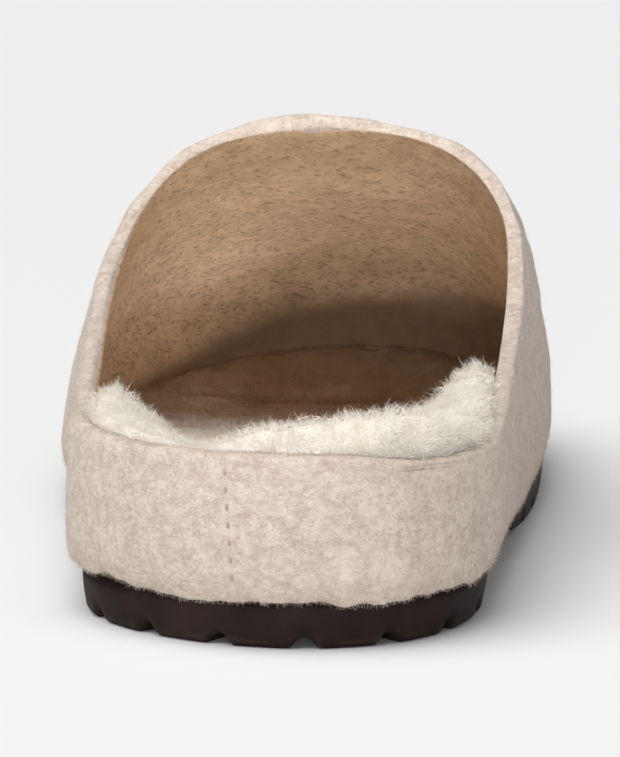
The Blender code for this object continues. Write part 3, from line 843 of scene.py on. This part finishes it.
def felt_shell():
    """The felt upper with its slight unevenness, the dimples of its seam and its tilted back rim."""
    item = rounded("upper", "felt_shell", FELT_LEVELS)
    mesh = item.data
    points, ways = corners(mesh), facing(mesh)
    inside = inside_share(mesh)
    points += ways * felt_lift(points, inside)[:, None]
    rim = smoothstep(*RIM_Y, points[:, 1]) * smoothstep(*RIM_Z, points[:, 2])
    points[:, 2] += np.interp(points[:, 0], *zip(*RIM_TILT)) * rim
    foot = smoothstep(*FOOT_Z, points[:, 2]) * (1 - inside)
    points[:, 2] += foot * FOOT_WAVE[1] * waves(points, FOOT_WAVE[0], FOOT_SEED)
    set_corners(mesh, points)
    set_attribute(mesh, "inside", inside)
    # painted shade at the foot of the toe's inside
    set_attribute(mesh, "deep", inside * painted_toe_shade(points))
    # painted light on the lining, towards the toe and on the lateral side
    set_attribute(mesh, "far", painted_lining_light(points))
    set_attribute(mesh, "scuff", scuff_share(points) * (1 - inside))
    mesh.materials.append(felt_material())
    mesh.materials.append(lining_material())
    line_inside(mesh, inside)
    return item


def ribbon(line, across, taper, width):
    """Corners and faces of one flat fibre along a line, closing to a point, and how far along it each is."""
    line, across = np.asarray(line, dtype=float), np.asarray(across, dtype=float)
    half = across * (np.asarray(taper)[:-1, None] * width / 2)
    count = len(line) - 1
    points = np.concatenate([line[:-1] - half, line[:-1] + half, line[-1:]])
    faces = [(i, i + 1, count + i + 1, count + i) for i in range(count - 1)]
    faces.append((count - 1, 2 * count, 2 * count - 1))
    along = np.concatenate([np.linspace(0, 1, count + 1)[:-1]] * 2 + [[1.0]])
    return points, faces, along


def ribbon_mesh(name, ribbons):
    """One mesh of several flat fibres."""
    points, faces, along, start = [], [], [], 0
    for spots, sides, shares in ribbons:
        points.append(spots)
        faces += [tuple(i + start for i in side) for side in sides]
        along.append(shares)
        start += len(spots)
    mesh = bpy.data.meshes.new(name)
    mesh.from_pydata(np.concatenate(points).tolist(), [], faces)
    mesh.shade_smooth()
    set_attribute(mesh, "along", np.concatenate(along))
    return mesh


def nap_shapes():
    """Short bowed fibres, lying along x."""
    rng = np.random.default_rng(NAP_SHAPE_SEED)
    shapes = []
    for i in range(NAP_SHAPES):
        bow, end = rng.normal(0, NAP_BOW, 2)
        line = np.array([(0, 0, -0.10), (0.5, bow, 0.16), (1.0, end, 0.14)]) * NAP_LENGTH
        line[1:, 2] *= rng.uniform(*NAP_RISE)
        shapes.append(ribbon_mesh(f"nap_{i}", [ribbon(line, (0, 1, 0), (1, 1, 0), NAP_WIDTH)]))
    return shapes


def felt_nap(shell):
    """Short loose fibres lying on the felt's outer face, more and longer ones at its foot."""
    store = shape_store("nap_shapes", nap_shapes())
    base = add_object("nap_base", shell.data.copy())
    mesh = base.data
    points, ways = corners(mesh), facing(mesh)
    foot = smoothstep(*NAP_FOOT_Z, points[:, 2]) * (ways[:, 2] < NAP_FOOT_FACING)
    outside = np.where(read_attribute(mesh, "inside") > 0.5, 0.0, 1.0)
    thick = outside * (1 + NAP_FOOT_MORE * foot)
    set_attribute(mesh, "thick", thick)
    set_attribute(mesh, "lean", ways)
    set_attribute(mesh, "length", 1 + NAP_FOOT_LONGER * foot)
    nap = grown(base, FIBRES, "felt_nap", {
        "Density": NAP_FIBRES / covered(mesh, thick), "Shapes": store, "Last Shape": NAP_SHAPES - 1,
        "Tilt": NAP_TILT, "Shortest": NAP_REACH[0], "Longest": NAP_REACH[1], "Seed": NAP_SEED,
        "Finish": nap_material(),
    })
    clear_store(store)
    return nap


def thread_bead():
    """One stitch's thread, lying along y and sunk a little."""
    bead = bmesh.new()
    bmesh.ops.create_uvsphere(bead, u_segments=8, v_segments=6, radius=0.5)
    for corner in bead.verts:
        x, y, z = corner.co
        corner.co = (x * STITCH_THICK, y * STITCH_LENGTH, z * STITCH_THICK - STITCH_SUNK)
    mesh = bpy.data.meshes.new("thread_bead")
    bead.to_mesh(mesh)
    bead.free()
    mesh.shade_smooth()
    return bpy.data.objects.new("thread_bead", mesh)


def seam_stitches(shell):
    """The thread beads of the centre back seam, sunk in their dimples."""
    spots = seam_points(surface(shell.data))
    path = bpy.data.meshes.new("seam_path")
    path.from_pydata([spot for spot, _ in spots], [(i, i + 1) for i in range(len(spots) - 1)], [])
    set_attribute(path, "out", np.array([normal for _, normal in spots]))
    bead = thread_bead()
    made = grown(add_object("seam_path", path), stitch_tree(), "seam_stitches", {
        "Pitch": STITCH_PITCH, "Stitch": bead, "Finish": thread_material(),
    })
    bpy.data.objects.remove(bead)
    return made


# Footbed and pile


def pile_zones(points):
    """Shares of the heel's crest, the heel's cup and the foot's front at points of the footbed."""
    front = smoothstep(*FRONT_Y, points[:, 1])
    crest = smoothstep(*CREST_Z, points[:, 2]) * (1 - front)
    return crest, (1 - front) * (1 - crest), front


def by_zone(zones, values):
    return sum(zone * value for zone, value in zip(zones, values))


def spill_share(points, gap):
    """One where the wool spills over the rim: by the wall, at the back of the heel and its medial corner."""
    lateral, medial = SPILL_START
    start = lateral + (medial - lateral) * smoothstep(*SPILL_X, points[:, 0])
    return smoothstep(*SPILL_GAP, gap) * smoothstep(0.0, -SPILL_FADE, points[:, 1] - start)


def parting_share(points):
    """One in the gap of the crest at the back of the heel."""
    x, y, wide = PARTING
    behind = smoothstep(y + PARTING_FADE[0], y + PARTING_FADE[1], points[:, 1])
    return np.exp(-(((points[:, 0] - x) / wide) ** 2)) * behind


def bed_sink(points, zones, gap):
    """How far the footbed's face lies under the solid's, to leave room for its pile."""
    y, crest = points[:, 1], zones[0]
    sink = by_zone(zones, PILE_SINK)
    sink = sink + TOE_SINK * smoothstep(*TOE_SINK_Y, y)
    beside = smoothstep(*CREST_FALL_Y, y) * crest
    sink = sink + CREST_FALL * smoothstep(*CREST_FALL_GAP, gap) * beside
    sink = sink * (1 - SPILL_RAISE * spill_share(points, gap)) + PARTING_SINK * parting_share(points)
    x, wide, height = CREST_RISE
    rise = np.exp(-(((points[:, 0] - x) / wide) ** 2)) * smoothstep(*CREST_RISE_Y, y)
    return sink - height * rise * crest


def uneven(points, mean, height, wavelength, seed):
    """A share that wanders about its mean."""
    return np.clip(mean + height * waves(points, wavelength, seed), 0, 1)


def footbed():
    """The shearling footbed's own face, sunk under its pile."""
    item = rounded("insole", "footbed", PILE_LEVELS)
    mesh = item.data
    points, ways = corners(mesh), facing(mesh)
    zones = pile_zones(points)
    wall = surface(solid("upper"))
    gap = np.array([wall.find_nearest(Vector(spot))[3] for spot in points])
    sink = bed_sink(points, zones, gap)
    upward = smoothstep(*UPWARD_FACING, ways[:, 2])
    ridge = smoothstep(*RIDGE_FACING, ways[:, 2]) * smoothstep(*RIDGE_Z, points[:, 2]) * (1 - zones[2])
    # trodden brown towards the toe, partly painted shade
    set_attribute(mesh, "front", smoothstep(*TRODDEN_AND_SHADE_Y, points[:, 1]))
    set_attribute(mesh, "along", uneven(points, *ALONG_WAVES, ALONG_SEED))
    set_attribute(mesh, "tone", uneven(points, *TONE_WAVES, TONE_SEED))
    set_attribute(mesh, "rooted", np.maximum(upward, ridge))
    set_attribute(mesh, "gap", gap)
    for name, values in zip(("crest", "cup", "fore"), zones):
        set_attribute(mesh, name, values)
    lumps = waves(points, LUMPS[0], LUMP_SEED) * LUMPS[1]
    points += ways * (lumps * upward)[:, None]
    points[:, 2] -= sink * upward
    set_corners(mesh, points)
    mesh.materials.append(pile_material("pile_ground"))
    return item


def lock_strand(rng, bend):
    """One wavy strand of a lock that bends one way."""
    stations = np.array(STRAND_STATIONS)
    angle, off = rng.uniform(0, 2 * math.pi), LOCK_SPREAD * math.sqrt(rng.uniform())
    root = np.array((math.cos(angle), math.sin(angle))) * off
    wave = rng.normal(0, STRAND_WAVE, 2)
    stray = rng.normal(0, STRAND_STRAY, 2)
    phase = rng.uniform(0, 2 * math.pi)
    plan = (
        root * (1 - LOCK_GATHER * stations[:, None])
        + (bend + stray) * stations[:, None] ** 2
        + wave * np.sin(stations * STRAND_TURN + phase)[:, None]
    )
    line = np.column_stack([plan, stations * rng.uniform(*STRAND_REACH)])
    side = rng.uniform(0, math.pi)
    return ribbon(line, (math.cos(side), math.sin(side), 0), STRAND_TAPER, STRAND_WIDTH)


def lock_shapes():
    """Wavy locks of wool, one long in z and life-size across."""
    rng = np.random.default_rng(LOCK_SEED)
    shapes = []
    for i in range(LOCK_SHAPES):
        bend = rng.normal(0, LOCK_BEND, 2)
        shapes.append(ribbon_mesh(f"lock_{i}", [lock_strand(rng, bend) for _ in range(LOCK_STRANDS)]))
    return shapes


def pile_lean(points, ways, crest, gap, spill):
    """Way the wool stands: off the face, with a wandering lie, upwards and out over the rim."""
    out = points[:, :2] - axis_point(points)
    out /= np.maximum(np.linalg.norm(out, axis=1, keepdims=True), 1e-6)
    all_over, by_wall, spilling = PILE_OVER
    over = crest * (all_over + by_wall * smoothstep(*PILE_OVER_GAP, gap) + spilling * spill)
    wavelength, strength = PILE_FLOW
    flow = np.stack([waves(points, wavelength, PILE_FLOW_SEED + i) for i in range(3)], -1) * strength
    return ways + flow + np.column_stack([out * over[:, None], PILE_UP[0] - PILE_UP[1] * spill])


def pile(bed, wall, store, name, share, seed, material):
    """One piece of pile over the part of the footbed that a share picks out, kept within the felt's wall."""
    base = add_object(name + "_base", bed.data.copy())
    mesh = base.data
    points = corners(mesh)
    zones = [read_attribute(mesh, zone) for zone in ("crest", "cup", "fore")]
    gap = read_attribute(mesh, "gap")
    spill = spill_share(points, gap)
    thick = share(points) * by_zone(zones, PILE_THICK) * read_attribute(mesh, "rooted")
    more = smoothstep(*CREST_BACK_Y, points[:, 1]) + CREST_WALL_MORE * smoothstep(*CREST_WALL_GAP, gap)
    thick *= 1 + zones[0] * more
    thick *= 1 - (1 - TOE_THICK) * smoothstep(*TOE_THICK_Y, points[:, 1])
    length = by_zone(zones, PILE_LENGTH) + SPILL_LONGER * spill
    set_attribute(mesh, "thick", thick)
    set_attribute(mesh, "lean", pile_lean(points, facing(mesh), zones[0], gap, spill))
    set_attribute(mesh, "length", length * (1 - PARTING_SHORTER * parting_share(points)))
    made = grown(base, FIBRES, name, {
        "Density": PILE_DENSITY, "Shapes": store, "Last Shape": LOCK_SHAPES - 1, "Tilt": PILE_TILT,
        "Shortest": PILE_REACH[0], "Longest": PILE_REACH[1], "Seed": seed, "Finish": material,
    })
    keep_within(made.data, wall)
    return made


def keep_within(mesh, wall):
    """Draw wool that would go into the felt wall back to the wall's inner face."""
    points = corners(mesh)
    middle = np.column_stack([axis_point(points), points[:, 2]])
    for i, (start, spot) in enumerate(zip(middle, points)):
        way = Vector(spot - start)
        hit = wall.ray_cast(Vector(start), way, way.length + FELT_CLEAR)[0]
        if hit is not None:
            points[i] = np.array(hit) - np.array(way.normalized()) * FELT_CLEAR
    set_corners(mesh, points)


def heel_share(points):
    return smoothstep(*HEEL_PILE_Y, points[:, 1])


def back_share(points):
    return smoothstep(*BACK_PILE_Y, points[:, 1])


def side_share(points, medial):
    """Share of the heel's pile in front of its back, on one side of the foot's middle line."""
    on_side = (points[:, 0] - axis_point(points)[:, 0] >= 0) == medial
    return heel_share(points) * (1 - back_share(points)) * on_side


def pile_pieces(bed, shell):
    """The pile of the footbed, in four pieces."""
    wall = surface(shell.data)
    store = shape_store("lock_shapes", lock_shapes())
    material = pile_material("wool_pile")
    shares = (
        ("pile_lateral", lambda points: side_share(points, False)),
        ("pile_medial", lambda points: side_share(points, True)),
        ("pile_back", back_share),
        ("pile_front", lambda points: 1 - heel_share(points)),
    )
    pieces = [
        pile(bed, wall, store, name, share, PILE_SEED + i, material) for i, (name, share) in enumerate(shares)
    ]
    clear_store(store)
    return pieces


# Outsole


def outsole():
    """The moulded outsole with its edges slightly rounded and rubbed."""
    item = rounded("outsole", "moulded_outsole", SOLE_LEVELS, SOLE_CREASE)
    mesh = item.data
    shape = bmesh.new()
    shape.from_mesh(mesh)
    bends = [max((edge.calc_face_angle(0.0) for edge in v.link_edges), default=0.0) for v in shape.verts]
    shape.free()
    rubbed = smoothstep(*RUBBED_BEND, np.array(bends)) * smoothstep(*RUBBED_Z, corners(mesh)[:, 2])
    set_attribute(mesh, "edge", rubbed)
    mesh.materials.append(sole_material())
    return item


# Studio


def turned(way):
    """Turn of a lamp or a camera that looks one way."""
    return Vector(way).to_track_quat("-Z", "Y").to_euler()


def panel_light(name, place, way, size, power):
    """A soft rectangular light."""
    data = bpy.data.lights.new(name, "AREA")
    data.shape, data.size, data.size_y, data.energy = "RECTANGLE", *size, power
    lamp = add_object(name, data)
    lamp.location, lamp.rotation_euler, lamp.visible_camera = place, turned(way), False


def spot_light(name, place, power):
    """A narrow beam into the shoe's opening."""
    data = bpy.data.lights.new(name, "SPOT")
    data.energy, data.spot_size, data.spot_blend = power, SPOT_CONE, SPOT_BLEND
    data.shadow_soft_size = SPOT_RADIUS
    lamp = add_object(name, data)
    way = Vector(SPOT_AIM) - Vector(place)
    lamp.location, lamp.rotation_euler, lamp.visible_camera = place, turned(way), False


def studio_floor():
    """A wide pale floor, which is stage."""
    signs = ((-1, -1), (1, -1), (1, 1), (-1, 1))
    mesh = bpy.data.meshes.new("studio_floor")
    mesh.from_pydata([(x * FLOOR_HALF, y * FLOOR_HALF, 0) for x, y in signs], [], [(0, 1, 2, 3)])
    floor = add_object("studio_floor", mesh)
    material, tree, body = shader("studio_floor")
    fill(tree, body, {"Base Color": FLOOR_COLOUR, "Roughness": FLOOR_ROUGHNESS})
    mesh.materials.append(material)


def studio_lights():
    """The soft key, the panels, the spots and the sky."""
    sun = bpy.data.lights.new("key_light", "SUN")
    sun.energy, sun.angle = KEY_POWER, KEY_ANGLE
    add_object("key_light", sun).rotation_euler = turned(KEY_WAY)
    panel_light(*LOW_PANEL)
    for i, (place, power) in enumerate(SPOTS):
        spot_light(f"opening_spot_{i}", place, power)
    for panel in INNER_PANELS:
        panel_light(*panel)
    world = bpy.data.worlds.new("studio")
    world.use_nodes = True
    sky = world.node_tree.nodes["Background"]
    fill(world.node_tree, sky, {"Color": (1.0, 1.0, 1.0, 1), "Strength": SKY})
    bpy.context.scene.world = world
    bpy.context.scene.view_settings.view_transform = "Standard"


def studio_camera():
    """The camera at the photograph's angle."""
    data = bpy.data.cameras.new("camera")
    data.sensor_width = SENSOR
    data.lens = FOCAL_PIXELS / max(IMAGE_WIDTH, IMAGE_HEIGHT) * SENSOR
    data.clip_start, data.clip_end = CLIP_START, CLIP_END
    camera = add_object("camera", data)
    camera.location, camera.rotation_euler = CAMERA_AT, turned(CAMERA_AIM - CAMERA_AT)
    bpy.context.scene.camera = camera


studio_floor()
studio_lights()
studio_camera()
HEATHER = heather_group()
FIBRES = fibre_tree()
shell = felt_shell()
nap = felt_nap(shell)
stitches = seam_stitches(shell)
bed = footbed()
wool = pile_pieces(bed, shell)
sole = outsole()

for piece, node, slot in ((shell, "upper", "felt"), (bed, "insole", "shearling"), (sole, "outsole", "sole")):
    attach(piece, BODY)
    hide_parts(node)
for piece, slot in [(nap, "felt"), (stitches, "felt")] + [(part, "shearling") for part in wool]:
    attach(piece, BODY)
